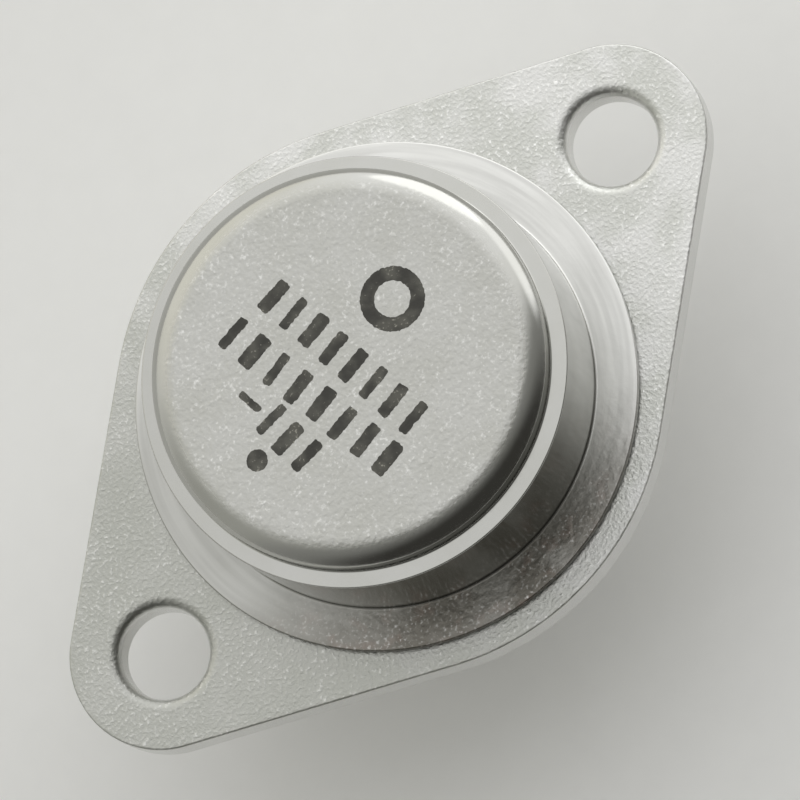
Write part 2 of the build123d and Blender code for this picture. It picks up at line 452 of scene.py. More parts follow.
@dataclass(frozen=True)
class TumbledNickelPlate:
    """Nickel plating on a stamped and tumbled steel plate.

    It gives the eye a pale grey with a fine grain on the flat faces, with painted glints as bright specks in
    the colour, and painted shade that darkens the flat faces towards one end. The rolled edges are smoother
    metal, painted lighter as a painted reflection. The grain and specks are drawn a little coarser than a
    tumbled surface's, so that they show.
    """

    name: str = "nickel_plated_tumbled_steel"
    nickel: str = "#D6D6D4"
    shade: str = "#C2C3BE"
    # Painted glints: the colour of the bright specks on the flat faces
    glint: str = "#F0F0EE"
    # Painted shade: the colour that the flat faces darken to towards one end
    darker_end: str = "#A6A7A1"
    # The rolled edges' and bores' colour, lighter than the nickel: a painted reflection, on smoother metal
    edge: str = "#E2E2E0"
    flat_levels: Levels = (0.2, 0.75)
    blotch: float = 2.4
    shade_levels: Levels = (0.35, 0.65)
    # Painted shade: where it starts and ends along X, in millimetres, and how patchy it is
    painted_shade_reach: Levels = (-12.0, 6.0)
    painted_shade_levels: Levels = (0.25, 0.75)
    painted_shade_share: Levels = (0.9, 0.7)
    grain: float = 0.17
    relief: float = 0.035
    # The size of the painted glints' specks and of their clusters, and how much they fade under the painted
    # shade
    fleck: float = 0.17
    cluster: float = 1.1
    fleck_loss: float = 0.6
    roughness: Levels = (0.368, 0.44)
    edge_roughness: float = 0.27

    def material(self) -> bpy.types.Material:
        """Builds the material.

        Returns:
            The material.
        """
        paint = Painter(self.name)
        level = paint.add("ShaderNodeMath", [paint.facing()], operation="ABSOLUTE")
        flat = paint.add("ShaderNodeMapRange", [level, *self.flat_levels], **EASED)
        blotch = paint.blotches(self.blotch, detail=4.0)
        tone = self._tone(paint, flat, blotch)
        satin = paint.add("ShaderNodeMapRange", [blotch, *MIDDLE, *self.roughness], **EASED)
        grain = paint.add(
            "ShaderNodeMath", [paint.blotches(self.grain, detail=3.0), flat], operation="MULTIPLY"
        )
        return paint.surface({
            # The rolled edges take the lighter colour, a painted reflection; the flat faces take the tone
            "Base Color": paint.add("ShaderNodeMix", [flat, linear(self.edge), tone], data_type="RGBA"),
            "Metallic": 1.0,
            "Roughness": paint.add("ShaderNodeMix", [flat, self.edge_roughness, satin]),
            "Normal": paint.add("ShaderNodeBump", {"Height": grain, "Distance": self.relief * MM}),
        })

    def _tone(self, paint: Painter, flat: bpy.types.Node, blotch: bpy.types.Node) -> bpy.types.Node:
        """Colours the flat faces, with painted shade towards one end and painted glints.

        Args:
            paint: What draws the patterns.
            flat: The share of the flat faces.
            blotch: The level of the plating's soft blotches.

        Returns:
            The node that gives the colour.
        """
        cloud = paint.add("ShaderNodeMapRange", [blotch, *self.shade_levels], **EASED)
        clean = paint.add("ShaderNodeMix", [cloud, linear(self.shade), linear(self.nickel)], data_type="RGBA")
        # Painted shade: the flat faces darken in patches towards -X
        end = paint.add("ShaderNodeMapRange", [paint.towards(0), *self.painted_shade_reach, 1.0, 0.0], **EASED)
        patch = paint.add("ShaderNodeMapRange", [blotch, *self.painted_shade_levels, *self.painted_shade_share], **EASED)
        worn = paint.add("ShaderNodeMath", [end, patch], operation="MULTIPLY")
        tone = paint.add("ShaderNodeMix", [worn, clean, linear(self.darker_end)], data_type="RGBA")
        # Painted glints: bright specks painted into the flat faces' colour
        painted_glints = paint.add(
            "ShaderNodeMath", [paint.painted_glints(self.fleck, self.cluster), flat], operation="MULTIPLY"
        )
        # The painted glints fade where the painted shade lies
        kept = paint.add("ShaderNodeMath", [worn, -self.fleck_loss, 1.0], operation="MULTIPLY_ADD")
        painted_glint_share = paint.add("ShaderNodeMath", [painted_glints, kept], operation="MULTIPLY")
        return paint.add("ShaderNodeMix", [painted_glint_share, tone, linear(self.glint)], data_type="RGBA")


@dataclass(frozen=True)
class CapZones:
    """The shares of the cap's grained top, its flange and the weld's stain, and its soft blotches."""

    top: bpy.types.Node
    flange: bpy.types.Node
    stained: bpy.types.Node
    blotch: bpy.types.Node


@dataclass(frozen=True)
class DrawnNickelCap:
    """Nickel plating on a deep-drawn steel cap.

    It gives the eye a satin top with fine grain and painted glints, a smooth bright shoulder and wall with
    faint upright draw lines and soft smears, with painted shade darkening the wall on one side, and a flange
    with fine rings that the weld has stained, darker towards -X.
    The draw lines are drawn coarser than real ones, so that they show. A reach is a share of the wall's
    radius.
    """

    grain_edge: float
    wall_radius: float
    name: str = "nickel_plated_drawn_steel"
    nickel: str = "#B4B4B0"
    shade: str = "#B1B1AC"
    # Painted glints: the colour of the bright specks on the top and the stain
    glint: str = "#D2D2CF"
    flange_bright: str = "#DCDCD9"
    flange_dim: str = "#CACAC7"
    # The colour of the wall's soft smears and of its painted shade on the near side, which the flange also
    # darkens to towards -X
    smear: str = "#8A8A84"
    stain: str = "#75726B"
    tint: str = "#7A7169"
    grain_fade: float = 0.3
    flange_fade: float = 0.05
    blotch: float = 2.6
    shade_levels: Levels = (0.35, 0.7)
    stain_heading: float = -110.0
    stain_reach: Levels = (0.45, 1.08)
    stain_levels: Levels = (0.32, 0.6)
    stain_share: Levels = (0.75, 1.0)
    tint_size: float = 0.9
    tint_levels: Levels = (0.5, 0.7)
    upright_levels: Levels = (0.2, 0.5)
    # Painted shade: the wall's near side is darkened, a painted dark reflection
    wall_shade_heading: float = -118.0
    wall_shade_reach: Levels = (0.35, 0.75)
    wall_shade_share: Levels = (0.0, 0.85)
    smear_size: float = 0.9
    smear_length: float = 5.0
    smear_levels: Levels = (0.45, 0.7)
    smear_share: Levels = (0.0, 0.45)
    ring_width: float = 0.3
    ring_length: float = 30.0
    ring_levels: Levels = (0.25, 0.75)
    # How far the flange darkens towards -X, as shares of the wall's radius, and how much
    low_x_darkening_reach: Levels = (-1.0, -0.3)
    low_x_darkening_share: Levels = (0.55, 0.0)
    # The size of the painted glints' specks and of their clusters
    fleck: float = 0.15
    cluster: float = 0.9
    grain: float = 0.22
    relief: float = 0.03
    flange_grain: float = 0.33
    flange_relief: float = 0.024
    flange_share: float = 0.2
    stained_share: float = 0.8
    line: float = 0.25
    line_length: float = 30.0
    line_relief: float = 0.0008
    roughness: Levels = (0.3196, 0.3672)
    slick_roughness: Levels = (0.1105, 0.156)

    def material(self) -> bpy.types.Material:
        """Builds the material.

        Returns:
            The material.
        """
        paint = Painter(self.name)
        zones = self._zones(paint)
        lines = paint.blotches(self.line, length=self.line_length)
        satin = paint.add("ShaderNodeMapRange", [zones.blotch, *MIDDLE, *self.roughness], **EASED)
        slick = paint.add("ShaderNodeMapRange", [lines, *MIDDLE, *self.slick_roughness], **EASED)
        rough = paint.add("ShaderNodeMath", [zones.top, zones.flange], operation="MAXIMUM")
        return paint.surface({
            "Base Color": self._tone(paint, zones),
            "Metallic": 1.0,
            "Roughness": paint.add("ShaderNodeMix", [rough, slick, satin]),
            "Normal": self._relief(paint, zones, lines),
        })

    def _reach(self, reach: Levels) -> list[float]:
        """Turns a reach to millimetres."""
        return [self.wall_radius * share for share in reach]

    def _zones(self, paint: Painter) -> CapZones:
        """Parts the cap into its zones.

        Args:
            paint: What draws the patterns.

        Returns:
            The zones.
        """
        out = paint.off_axis()
        fade = [self.grain_edge - self.grain_fade, self.grain_edge + self.grain_fade]
        top = paint.add("ShaderNodeMapRange", [out, *fade, 1.0, 0.0], **EASED)
        foot = [self.wall_radius, self.wall_radius + self.flange_fade]
        flange = paint.add("ShaderNodeMapRange", [out, *foot], **EASED)
        blotch = paint.blotches(self.blotch, detail=4.0)
        near = paint.towards(self.stain_heading)
        side = paint.add("ShaderNodeMapRange", [near, *self._reach(self.stain_reach)], **EASED)
        cloud = paint.add("ShaderNodeMapRange", [blotch, *self.stain_levels, *self.stain_share], **EASED)
        patch = paint.add("ShaderNodeMath", [cloud, side], operation="MULTIPLY")
        stained = paint.add("ShaderNodeMath", [patch, flange], operation="MULTIPLY")
        return CapZones(top, flange, stained, blotch)

    def _wall_shade_and_smears(self, paint: Painter) -> bpy.types.Node:
        """Draws painted shade on the upright walls' near side, and soft upright smears all round.

        Args:
            paint: What draws the patterns.

        Returns:
            The node that gives their share.
        """
        upright = paint.add("ShaderNodeMapRange", [paint.facing(), *self.upright_levels, 1.0, 0.0], **EASED)
        # Painted shade: the wall darkens on its near side, a painted dark reflection
        near = paint.towards(self.wall_shade_heading)
        reach = self._reach(self.wall_shade_reach)
        wall_shade = paint.add("ShaderNodeMapRange", [near, *reach, *self.wall_shade_share], **EASED)
        # Soft upright smears all round the wall
        cloud = paint.blotches(self.smear_size, length=self.smear_length)
        smears = paint.add("ShaderNodeMapRange", [cloud, *self.smear_levels, *self.smear_share], **EASED)
        worn = paint.add("ShaderNodeMath", [wall_shade, smears], operation="MAXIMUM")
        return paint.add("ShaderNodeMath", [worn, upright], operation="MULTIPLY")

    def _tone(self, paint: Painter, zones: CapZones) -> bpy.types.Node:
        """Colours the cap.

        Args:
            paint: What draws the patterns.
            zones: The cap's zones.

        Returns:
            The node that gives the colour.
        """
        smear = linear(self.smear)
        cloud = paint.add("ShaderNodeMapRange", [zones.blotch, *self.shade_levels], **EASED)
        clean = paint.add("ShaderNodeMix", [cloud, linear(self.nickel), linear(self.shade)], data_type="RGBA")
        # The wall takes the smear colour under its painted shade and smears
        drawn = paint.add("ShaderNodeMix", [self._wall_shade_and_smears(paint), clean, smear], data_type="RGBA")

        streaks = paint.streaks(self.ring_width, self.ring_length)
        rings = paint.add("ShaderNodeMapRange", [streaks, *self.ring_levels], **EASED)
        greys = [linear(self.flange_dim), linear(self.flange_bright)]
        rolled = paint.add("ShaderNodeMix", [rings, *greys], data_type="RGBA")
        joined = paint.add("ShaderNodeMix", [zones.flange, drawn, rolled], data_type="RGBA")

        # The flange darkens towards -X
        reach = self._reach(self.low_x_darkening_reach)
        end = paint.add("ShaderNodeMapRange", [paint.towards(0), *reach, *self.low_x_darkening_share], **EASED)
        low_x_darkening = paint.add("ShaderNodeMath", [end, zones.flange], operation="MULTIPLY")
        darker_end = paint.add("ShaderNodeMix", [low_x_darkening, joined, smear], data_type="RGBA")

        tinted = paint.add("ShaderNodeMapRange", [paint.blotches(self.tint_size), *self.tint_levels], **EASED)
        weld = paint.add("ShaderNodeMix", [tinted, linear(self.stain), linear(self.tint)], data_type="RGBA")
        tone = paint.add("ShaderNodeMix", [zones.stained, darker_end, weld], data_type="RGBA")

        # Painted glints on the grained top and the stain
        grainy = paint.add("ShaderNodeMath", [zones.top, zones.stained], operation="MAXIMUM")
        painted_glints = paint.painted_glints(self.fleck, self.cluster)
        painted_glint_share = paint.add("ShaderNodeMath", [painted_glints, grainy], operation="MULTIPLY")
        return paint.add("ShaderNodeMix", [painted_glint_share, tone, linear(self.glint)], data_type="RGBA")

    def _relief(self, paint: Painter, zones: CapZones, lines: bpy.types.Node) -> bpy.types.Node:
        """Raises the draw lines, the top's grain and the flange's rougher grain.

        Args:
            paint: What draws the patterns.
            zones: The cap's zones.
            lines: The level of the draw lines.

        Returns:
            The relief's node, for the shader's normal.
        """
        drawn = paint.add("ShaderNodeBump", {"Height": lines, "Distance": self.line_relief * MM})
        fine = paint.add(
            "ShaderNodeMath", [paint.blotches(self.grain, detail=3.0), zones.top], operation="MULTIPLY"
        )
        satin = paint.add(
            "ShaderNodeBump", {"Height": fine, "Distance": self.relief * MM, "Normal": drawn}
        )
        rolled = paint.add("ShaderNodeMath", [zones.flange, self.flange_share], operation="MULTIPLY")
        depth = paint.add(
            "ShaderNodeMath", [zones.stained, self.stained_share, rolled], operation="MULTIPLY_ADD"
        )
        coarse = paint.add(
            "ShaderNodeMath", [paint.blotches(self.flange_grain, detail=3.0), depth], operation="MULTIPLY"
        )
        return paint.add(
            "ShaderNodeBump", {"Height": coarse, "Distance": self.flange_relief * MM, "Normal": satin}
        )


@dataclass(frozen=True)
class StampInk:
    """Marking ink from a rubber stamp.

    It gives the eye a dull near-black that breaks up over the grain, where the metal shows through.
    """

    name: str = "rubber_stamped_ink"
    ink: str = "#35342F"
    thin: str = "#5A5952"
    metal: str = "#A9A79D"
    speck: float = 0.14
    cloud: float = 0.9
    cloud_share: float = 0.5
    worn_levels: Levels = (0.88, 1.06)
    thin_levels: Levels = (0.35, 0.7)
    bare_metallic: float = 0.9
    roughness: float = 0.62
    relief: float = 0.012

    def material(self) -> bpy.types.Material:
        """Builds the material.

        Returns:
            The material.
        """
        paint = Painter(self.name)
        speck = paint.blotches(self.speck, detail=3.0)
        cloud = paint.blotches(self.cloud)
        wear = paint.add("ShaderNodeMath", [cloud, self.cloud_share, speck], operation="MULTIPLY_ADD")
        worn = paint.add("ShaderNodeMapRange", [wear, *self.worn_levels], **EASED)
        thinned = paint.add("ShaderNodeMapRange", [cloud, *self.thin_levels], **EASED)
        tone = paint.add("ShaderNodeMix", [thinned, linear(self.ink), linear(self.thin)], data_type="RGBA")
        return paint.surface({
            "Base Color": paint.add("ShaderNodeMix", [worn, tone, linear(self.metal)], data_type="RGBA"),
            "Metallic": paint.add("ShaderNodeMath", [worn, self.bare_metallic], operation="MULTIPLY"),
            "Roughness": self.roughness,
            "Normal": paint.add("ShaderNodeBump", {"Height": speck, "Distance": self.relief * MM}),
        })


@dataclass(frozen=True)
class FusedGlass:
    """Sealing glass, fused in place between the lead and the plate.

    It gives the eye a dark grey-green bead with a glossy meniscus and a few cloudy patches.
    """

    name: str = "fused_sealing_glass"
    glass: str = "#39443F"
    cloudy: str = "#5B665F"
    cloud: float = 0.5
    cloud_levels: Levels = (0.45, 0.75)
    roughness: Levels = (0.08, 0.2)
    relief: float = 0.01

    def material(self) -> bpy.types.Material:
        """Builds the material.

        Returns:
            The material.
        """
        paint = Painter(self.name)
        cloud = paint.blotches(self.cloud, detail=3.0)
        share = paint.add("ShaderNodeMapRange", [cloud, *self.cloud_levels], **EASED)
        greys = [linear(self.glass), linear(self.cloudy)]
        return paint.surface({
            "Base Color": paint.add("ShaderNodeMix", [share, *greys], data_type="RGBA"),
            "Roughness": paint.add("ShaderNodeMapRange", [cloud, *MIDDLE, *self.roughness], **EASED),
            "IOR": 1.52,
            "Coat Weight": 0.5,
            "Coat Roughness": 0.05,
            "Normal": paint.add("ShaderNodeBump", {"Height": cloud, "Distance": self.relief * MM}),
        })


@dataclass(frozen=True)
class DrawnWireNickel:
    """Nickel plating on drawn wire.

    It gives the eye a bright pin with fine lines along it, drawn coarser than real ones so that they show.
    """

    name: str = "nickel_plated_drawn_wire"
    nickel: str = "#CFCCC2"
    shade: str = "#A9A69C"
    smear: float = 1.4
    smear_levels: Levels = (0.35, 0.75)
    line: float = 0.06
    line_length: float = 60.0
    roughness: Levels = (0.2, 0.32)
    relief: float = 0.002

    def material(self) -> bpy.types.Material:
        """Builds the material.

        Returns:
            The material.
        """
        paint = Painter(self.name)
        lines = paint.blotches(self.line, length=self.line_length)
        smear = paint.blotches(self.smear, detail=3.0)
        share = paint.add("ShaderNodeMapRange", [smear, *self.smear_levels], **EASED)
        greys = [linear(self.nickel), linear(self.shade)]
        return paint.surface({
            "Base Color": paint.add("ShaderNodeMix", [share, *greys], data_type="RGBA"),
            "Metallic": 1.0,
            "Roughness": paint.add("ShaderNodeMapRange", [smear, *MIDDLE, *self.roughness], **EASED),
            "Normal": paint.add("ShaderNodeBump", {"Height": lines, "Distance": self.relief * MM}),
        })


# The pieces inside the can, by the record's slot
INNER_FINISHES = {
    # A warm satin slab
    "copper": PlainFinish("machined_copper", "#C98B66", "#B87955", 0.3, metallic=1.0),
    # A thin pale yellow-grey film, as it set
    "braze": PlainFinish("reflowed_silver_braze", "#CFC9B4", "#B9B29A", 0.35, metallic=1.0),
    # A cool grey film, fairly bright
    "solder": PlainFinish("reflowed_solder", "#B9BBBD", "#9FA2A5", 0.3, metallic=1.0),
    # A matt warm white tile with a tight grain
    "ceramic": PlainFinish("fired_alumina_ceramic", "#EDEBE4", "#E2DFD6", 0.6, grain=0.08),
    # Dull pale metal, as screen printed
    "conductor_print": PlainFinish("fired_silver_palladium_ink", "#C9C7C0", "#B2B0A9", 0.45, metallic=1.0),
    # A dull greenish black bar
    "resistor_print": PlainFinish("fired_resistor_ink", "#2B2F2C", "#383D39", 0.5),
    # A dark blue-grey mirror
    "silicon": PlainFinish("diced_silicon", "#5A5F6B", "#4B505C", 0.15, metallic=0.8, relief=0.0005),
    # Bright white metal thread
    "bond_wire": PlainFinish("drawn_aluminium_wire", "#DADBDD", "#C6C8CB", 0.3, metallic=1.0, grain=0.05),
}


# -----------------------------------------------------------------------------------------------
# Turned pieces
# -----------------------------------------------------------------------------------------------


class PieceTree:
    """A Geometry Nodes tree with named inputs, which makes a piece from a blank."""

    NAME = "piece"
    INPUTS = {"Finish": "NodeSocketMaterial"}

    def __init__(self) -> None:
        """Starts the tree with its named inputs."""
        self.tree = bpy.data.node_groups.new(self.NAME, "GeometryNodeTree")
        face = self.tree.interface
        face.new_socket("Blank", in_out="INPUT", socket_type="NodeSocketGeometry")
        self.inputs = {
            name: face.new_socket(name, in_out="INPUT", socket_type=kind).identifier
            for name, kind in self.INPUTS.items()
        }
        face.new_socket("Piece", in_out="OUTPUT", socket_type="NodeSocketGeometry")
        self.given = {socket.name: socket for socket in self.add("NodeGroupInput").outputs}

    def add(self, kind: str, inputs: Inputs = (), **settings: object) -> bpy.types.Node:
        """Adds a node to the tree."""
        return add_node(self.tree, kind, inputs, **settings)

    def hand_out(self, geometry: bpy.types.Node) -> None:
        """Ends the tree: makes the geometry real and dresses it.

        Args:
            geometry: The node that gives the finished geometry.
        """
        real = self.add("GeometryNodeRealizeInstances", [geometry])
        dressed = self.add("GeometryNodeSetMaterial", {"Geometry": real, "Material": self.given["Finish"]})
        self.add("NodeGroupOutput", {"Piece": dressed})

    def make(self, name: str, blank: bpy.types.Mesh, values: dict[str, object]) -> bpy.types.Object:
        """Runs the tree on a blank and keeps what it makes as a plain mesh.

        Args:
            name: The piece's name.
            blank: The mesh that the tree starts from. It is removed.
            values: The value of each named input.

        Returns:
            The piece, with its faces pointing outwards.
        """
        holder = add_object(f"{name}_blank", blank)
        modifier = holder.modifiers.new(self.NAME, "NODES")
        modifier.node_group = self.tree
        for label, value in values.items():
            modifier[self.inputs[label]] = value
        graph = bpy.context.evaluated_depsgraph_get()
        mesh = bpy.data.meshes.new_from_object(holder.evaluated_get(graph), depsgraph=graph)
        bpy.data.objects.remove(holder)
        bpy.data.meshes.remove(blank)
        draft = bmesh.new()
        draft.from_mesh(mesh)
        bmesh.ops.recalc_face_normals(draft, faces=draft.faces)
        draft.to_mesh(mesh)
        draft.free()
        mesh.name = name
        return add_object(name, mesh)


class LatheTree(PieceTree):
    """A node tree that turns a section's points about an upright axis."""

    NAME = "turned_piece"
    INPUTS = {"Steps": "NodeSocketInt", "Axis": "NodeSocketVector", "Finish": "NodeSocketMaterial"}

    # How near two points are merged, in metres
    SEAM = 1e-7

    def __init__(self) -> None:
        """Lays a grid and turns its columns round the axis, each a copy of the section."""
        super().__init__()
        section = self.given["Blank"]
        steps = self.given["Steps"]
        size = self.add("GeometryNodeAttributeDomainSize", [section], component="MESH")
        count = size.outputs["Point Count"]
        columns = self.add("ShaderNodeMath", [steps, 1], operation="ADD")
        grid = self.add("GeometryNodeMeshGrid", {"Vertices X": columns, "Vertices Y": count})

        # The half keeps rounding from putting a column's first point into the column before it
        index = self.add("GeometryNodeInputIndex")
        row = self.add("ShaderNodeMath", [index, count], operation="MODULO")
        centred = self.add("ShaderNodeMath", [index, 0.5], operation="ADD")
        share = self.add("ShaderNodeMath", [centred, count], operation="DIVIDE")
        column = self.add("ShaderNodeMath", [share], operation="FLOOR")
        turns = self.add("ShaderNodeMath", [column, math.tau], operation="MULTIPLY")
        angle = self.add("ShaderNodeMath", [turns, steps], operation="DIVIDE")

        place = self.add("GeometryNodeInputPosition")
        sampled = self.add("GeometryNodeSampleIndex", [section, place, row], data_type="FLOAT_VECTOR")
        point = self.add("ShaderNodeSeparateXYZ", [sampled])
        x, y = (
            self.add(
                "ShaderNodeMath",
                [point.outputs["X"], self.add("ShaderNodeMath", [angle], operation=wave)],
                operation="MULTIPLY",
            )
            for wave in ("COSINE", "SINE")
        )
        turned = self.add("ShaderNodeCombineXYZ", [x, y, point.outputs["Z"]])
        placed = self.add("ShaderNodeVectorMath", [turned, self.given["Axis"]], operation="ADD")
        moved = self.add("GeometryNodeSetPosition", {"Geometry": grid, "Position": placed})
        merged = self.add("GeometryNodeMergeByDistance", {"Geometry": moved, "Distance": self.SEAM})
        self.hand_out(self.add("GeometryNodeSetShadeSmooth", {"Geometry": merged, "Shade Smooth": True}))

    def turn(
        self, name: str, section: Section, material: bpy.types.Material, axis: tuple[float, float], steps: int
    ) -> bpy.types.Object:
        """Turns a section into a piece.

        Args:
            name: The piece's name.
            section: Its section, from the axis outwards.
            material: Its finish.
            axis: Where its upright axis stands, in millimetres.
            steps: How many faces go round it.

        Returns:
            The piece, as a plain mesh.
        """
        points = [Vector((point.x, 0, point.y)) * MM for point in section.points()]
        blank = bpy.data.meshes.new(name)
        blank.from_pydata(points, [(i, i + 1) for i in range(len(points) - 1)], [])
        values = {"Steps": steps, "Axis": Vector((*axis, 0)) * MM, "Finish": material}
        return self.make(name, blank, values)


@dataclass
class Cap:
    """The drawn cap: a round top, a narrow shoulder, a straight wall and the flange that is welded down."""

    lathe: LatheTree
    wall_radius: float = 9.55
    riser_radius: float = 8.8
    sheet: float = 0.43
    top_round: float = 1.42
    turn_round: float = 0.03
    turn_tilt: float = 54.0
    inner_round: float = 0.57
    shoulder_drop: float = 1.51
    shoulder_slope: float = 0.07
    shoulder_round: float = 0.06
    riser_round: float = 0.1
    foot_round: float = 0.1
    flange_round: float = 0.07
    flange_lift: float = 0.1
    weld_inset: float = 0.5
    edge_break: float = 0.03
    grain_reach: float = 0.78
    steps: int = 240
    top: float = field(init=False)
    seat: float = field(init=False)
    flange_radius: float = field(init=False)

    def __post_init__(self) -> None:
        """Takes the cap's height, seat and reach from the frame."""
        low, high = node_box("cap")
        self.top = high.z
        self.seat = low.z
        self.flange_radius = high.x

    def _slant(self) -> float:
        """Gives the length of the slanted run between the rounding of the top and the turn to the riser.

        Returns:
            The length, a hair more than the two roundings take up, in millimetres.
        """
        spare = 1.001
        tilt = math.radians(self.turn_tilt)
        taken = self.top_round * math.tan(tilt / 2) + self.turn_round * math.tan((math.pi / 2 - tilt) / 2)
        return taken * spare

    def section(self) -> Section:
        """Draws half of the cap's wall, from the middle of the top outwards and back inside.

        Returns:
            The section.
        """
        flange_top = self.seat + self.sheet
        shoulder = self.top - self.shoulder_drop
        weld_radius = self.flange_radius - self.weld_inset
        inner_wall = self.wall_radius - self.sheet
        inner_riser = self.riser_radius - self.sheet
        inner_top = self.top - self.sheet
        tilt = math.radians(self.turn_tilt)
        slant = self._slant()
        return Section([
            Corner(0, self.top),
            Corner(self.riser_radius - slant * math.cos(tilt), self.top, self.top_round),
            Corner(self.riser_radius, self.top - slant * math.sin(tilt), self.turn_round),
            Corner(self.riser_radius, shoulder + self.shoulder_slope, self.riser_round),
            Corner(self.wall_radius, shoulder, self.shoulder_round),
            Corner(self.wall_radius, flange_top, self.foot_round),
            Corner(self.flange_radius, flange_top, self.flange_round),
            Corner(self.flange_radius, self.seat + self.flange_lift, self.edge_break),
            Corner(weld_radius, self.seat + self.flange_lift, self.edge_break),
            Corner(weld_radius, self.seat, self.edge_break),
            Corner(inner_wall, self.seat, self.edge_break),
            Corner(inner_wall, shoulder - self.sheet, self.riser_round),
            Corner(inner_riser, shoulder + self.shoulder_slope - self.sheet, self.shoulder_round),
            Corner(inner_riser, inner_top, self.inner_round),
            Corner(0, inner_top),
        ])

    def build(self) -> list[bpy.types.Object]:
        """Makes the cap and dresses it.

        Returns:
            The cap's piece.
        """
        finish = DrawnNickelCap(self.riser_radius - self.grain_reach, self.wall_radius).material()
        piece = self.lathe.turn("drawn_cap", self.section(), finish, (0, 0), self.steps)
        return [finish_piece(piece, ["cap"])]


@dataclass
class Leads:
    """The two leads with their nail heads, and the glass beads that hold them in the plate."""

    lathe: LatheTree
    tip_chamfer: float = 0.2
    tip_round: float = 0.08
    neck_round: float = 0.05
    head_radius: float = 0.95
    head_thickness: float = 0.35
    head_round: float = 0.08
    seal_break: float = 0.03
    seal_climb: float = 0.12
    seal_dish: float = 0.0288
    meniscus_round: float = 0.5
    steps: int = 64

    def pin_section(self, lead: LeadName) -> Section:
        """Draws half of a lead, from its tip to the top of its head.

        Args:
            lead: Which lead it is.

        Returns:
            The section.
        """
        low, high = node_box(f"lead_{lead.value}")
        radius = lead.mount["dims"]["r_mm"]
        neck = high.z - self.head_thickness
        return Section([
            Corner(0, low.z),
            Corner(radius - self.tip_chamfer, low.z, self.tip_round),
            Corner(radius, low.z + self.tip_chamfer, self.tip_round),
            Corner(radius, neck, self.neck_round),
            Corner(self.head_radius, neck, self.head_round),
            Corner(self.head_radius, high.z, self.head_round),
            Corner(0, high.z),
        ])

    def seal_section(self, lead: LeadName) -> Section:
        """Draws the ring of glass, which climbs the lead and dips before the plate's wall.

        Args:
            lead: Which lead it holds.

        Returns:
            The section.
        """
        low, high = node_box(f"glass_seal_{lead.value}")
        radius = lead.mount["dims"]["r_mm"]
        middle = (radius + EYELET_RADIUS) / 2
        bottom = low.z + self.seal_climb
        top = high.z - self.seal_climb
        return Section(
            [
                Corner(radius, low.z, self.seal_break),
                Corner(middle, bottom + self.seal_dish, self.meniscus_round),
                Corner(EYELET_RADIUS, bottom, self.seal_break),
                Corner(EYELET_RADIUS, top, self.seal_break),
                Corner(middle, top - self.seal_dish, self.meniscus_round),
                Corner(radius, high.z, self.seal_break),
            ],
            closed=True,
        )

    def build(self) -> list[bpy.types.Object]:
        """Makes the leads and their seals, and dresses them.

        Returns:
            The pieces.
        """
        metal = DrawnWireNickel().material()
        glass = FusedGlass().material()
        made = []
        for lead in LeadName:
            for node, section, finish, slot in (
                (f"lead_{lead.value}", self.pin_section(lead), metal, "lead_metal"),
                (f"glass_seal_{lead.value}", self.seal_section(lead), glass, "seal_glass"),
            ):
                piece = self.lathe.turn(f"{node}_turned", section, finish, lead.axis, self.steps)
                made.append(finish_piece(piece, [node]))
        return made


# -----------------------------------------------------------------------------------------------
# The base plate
# -----------------------------------------------------------------------------------------------


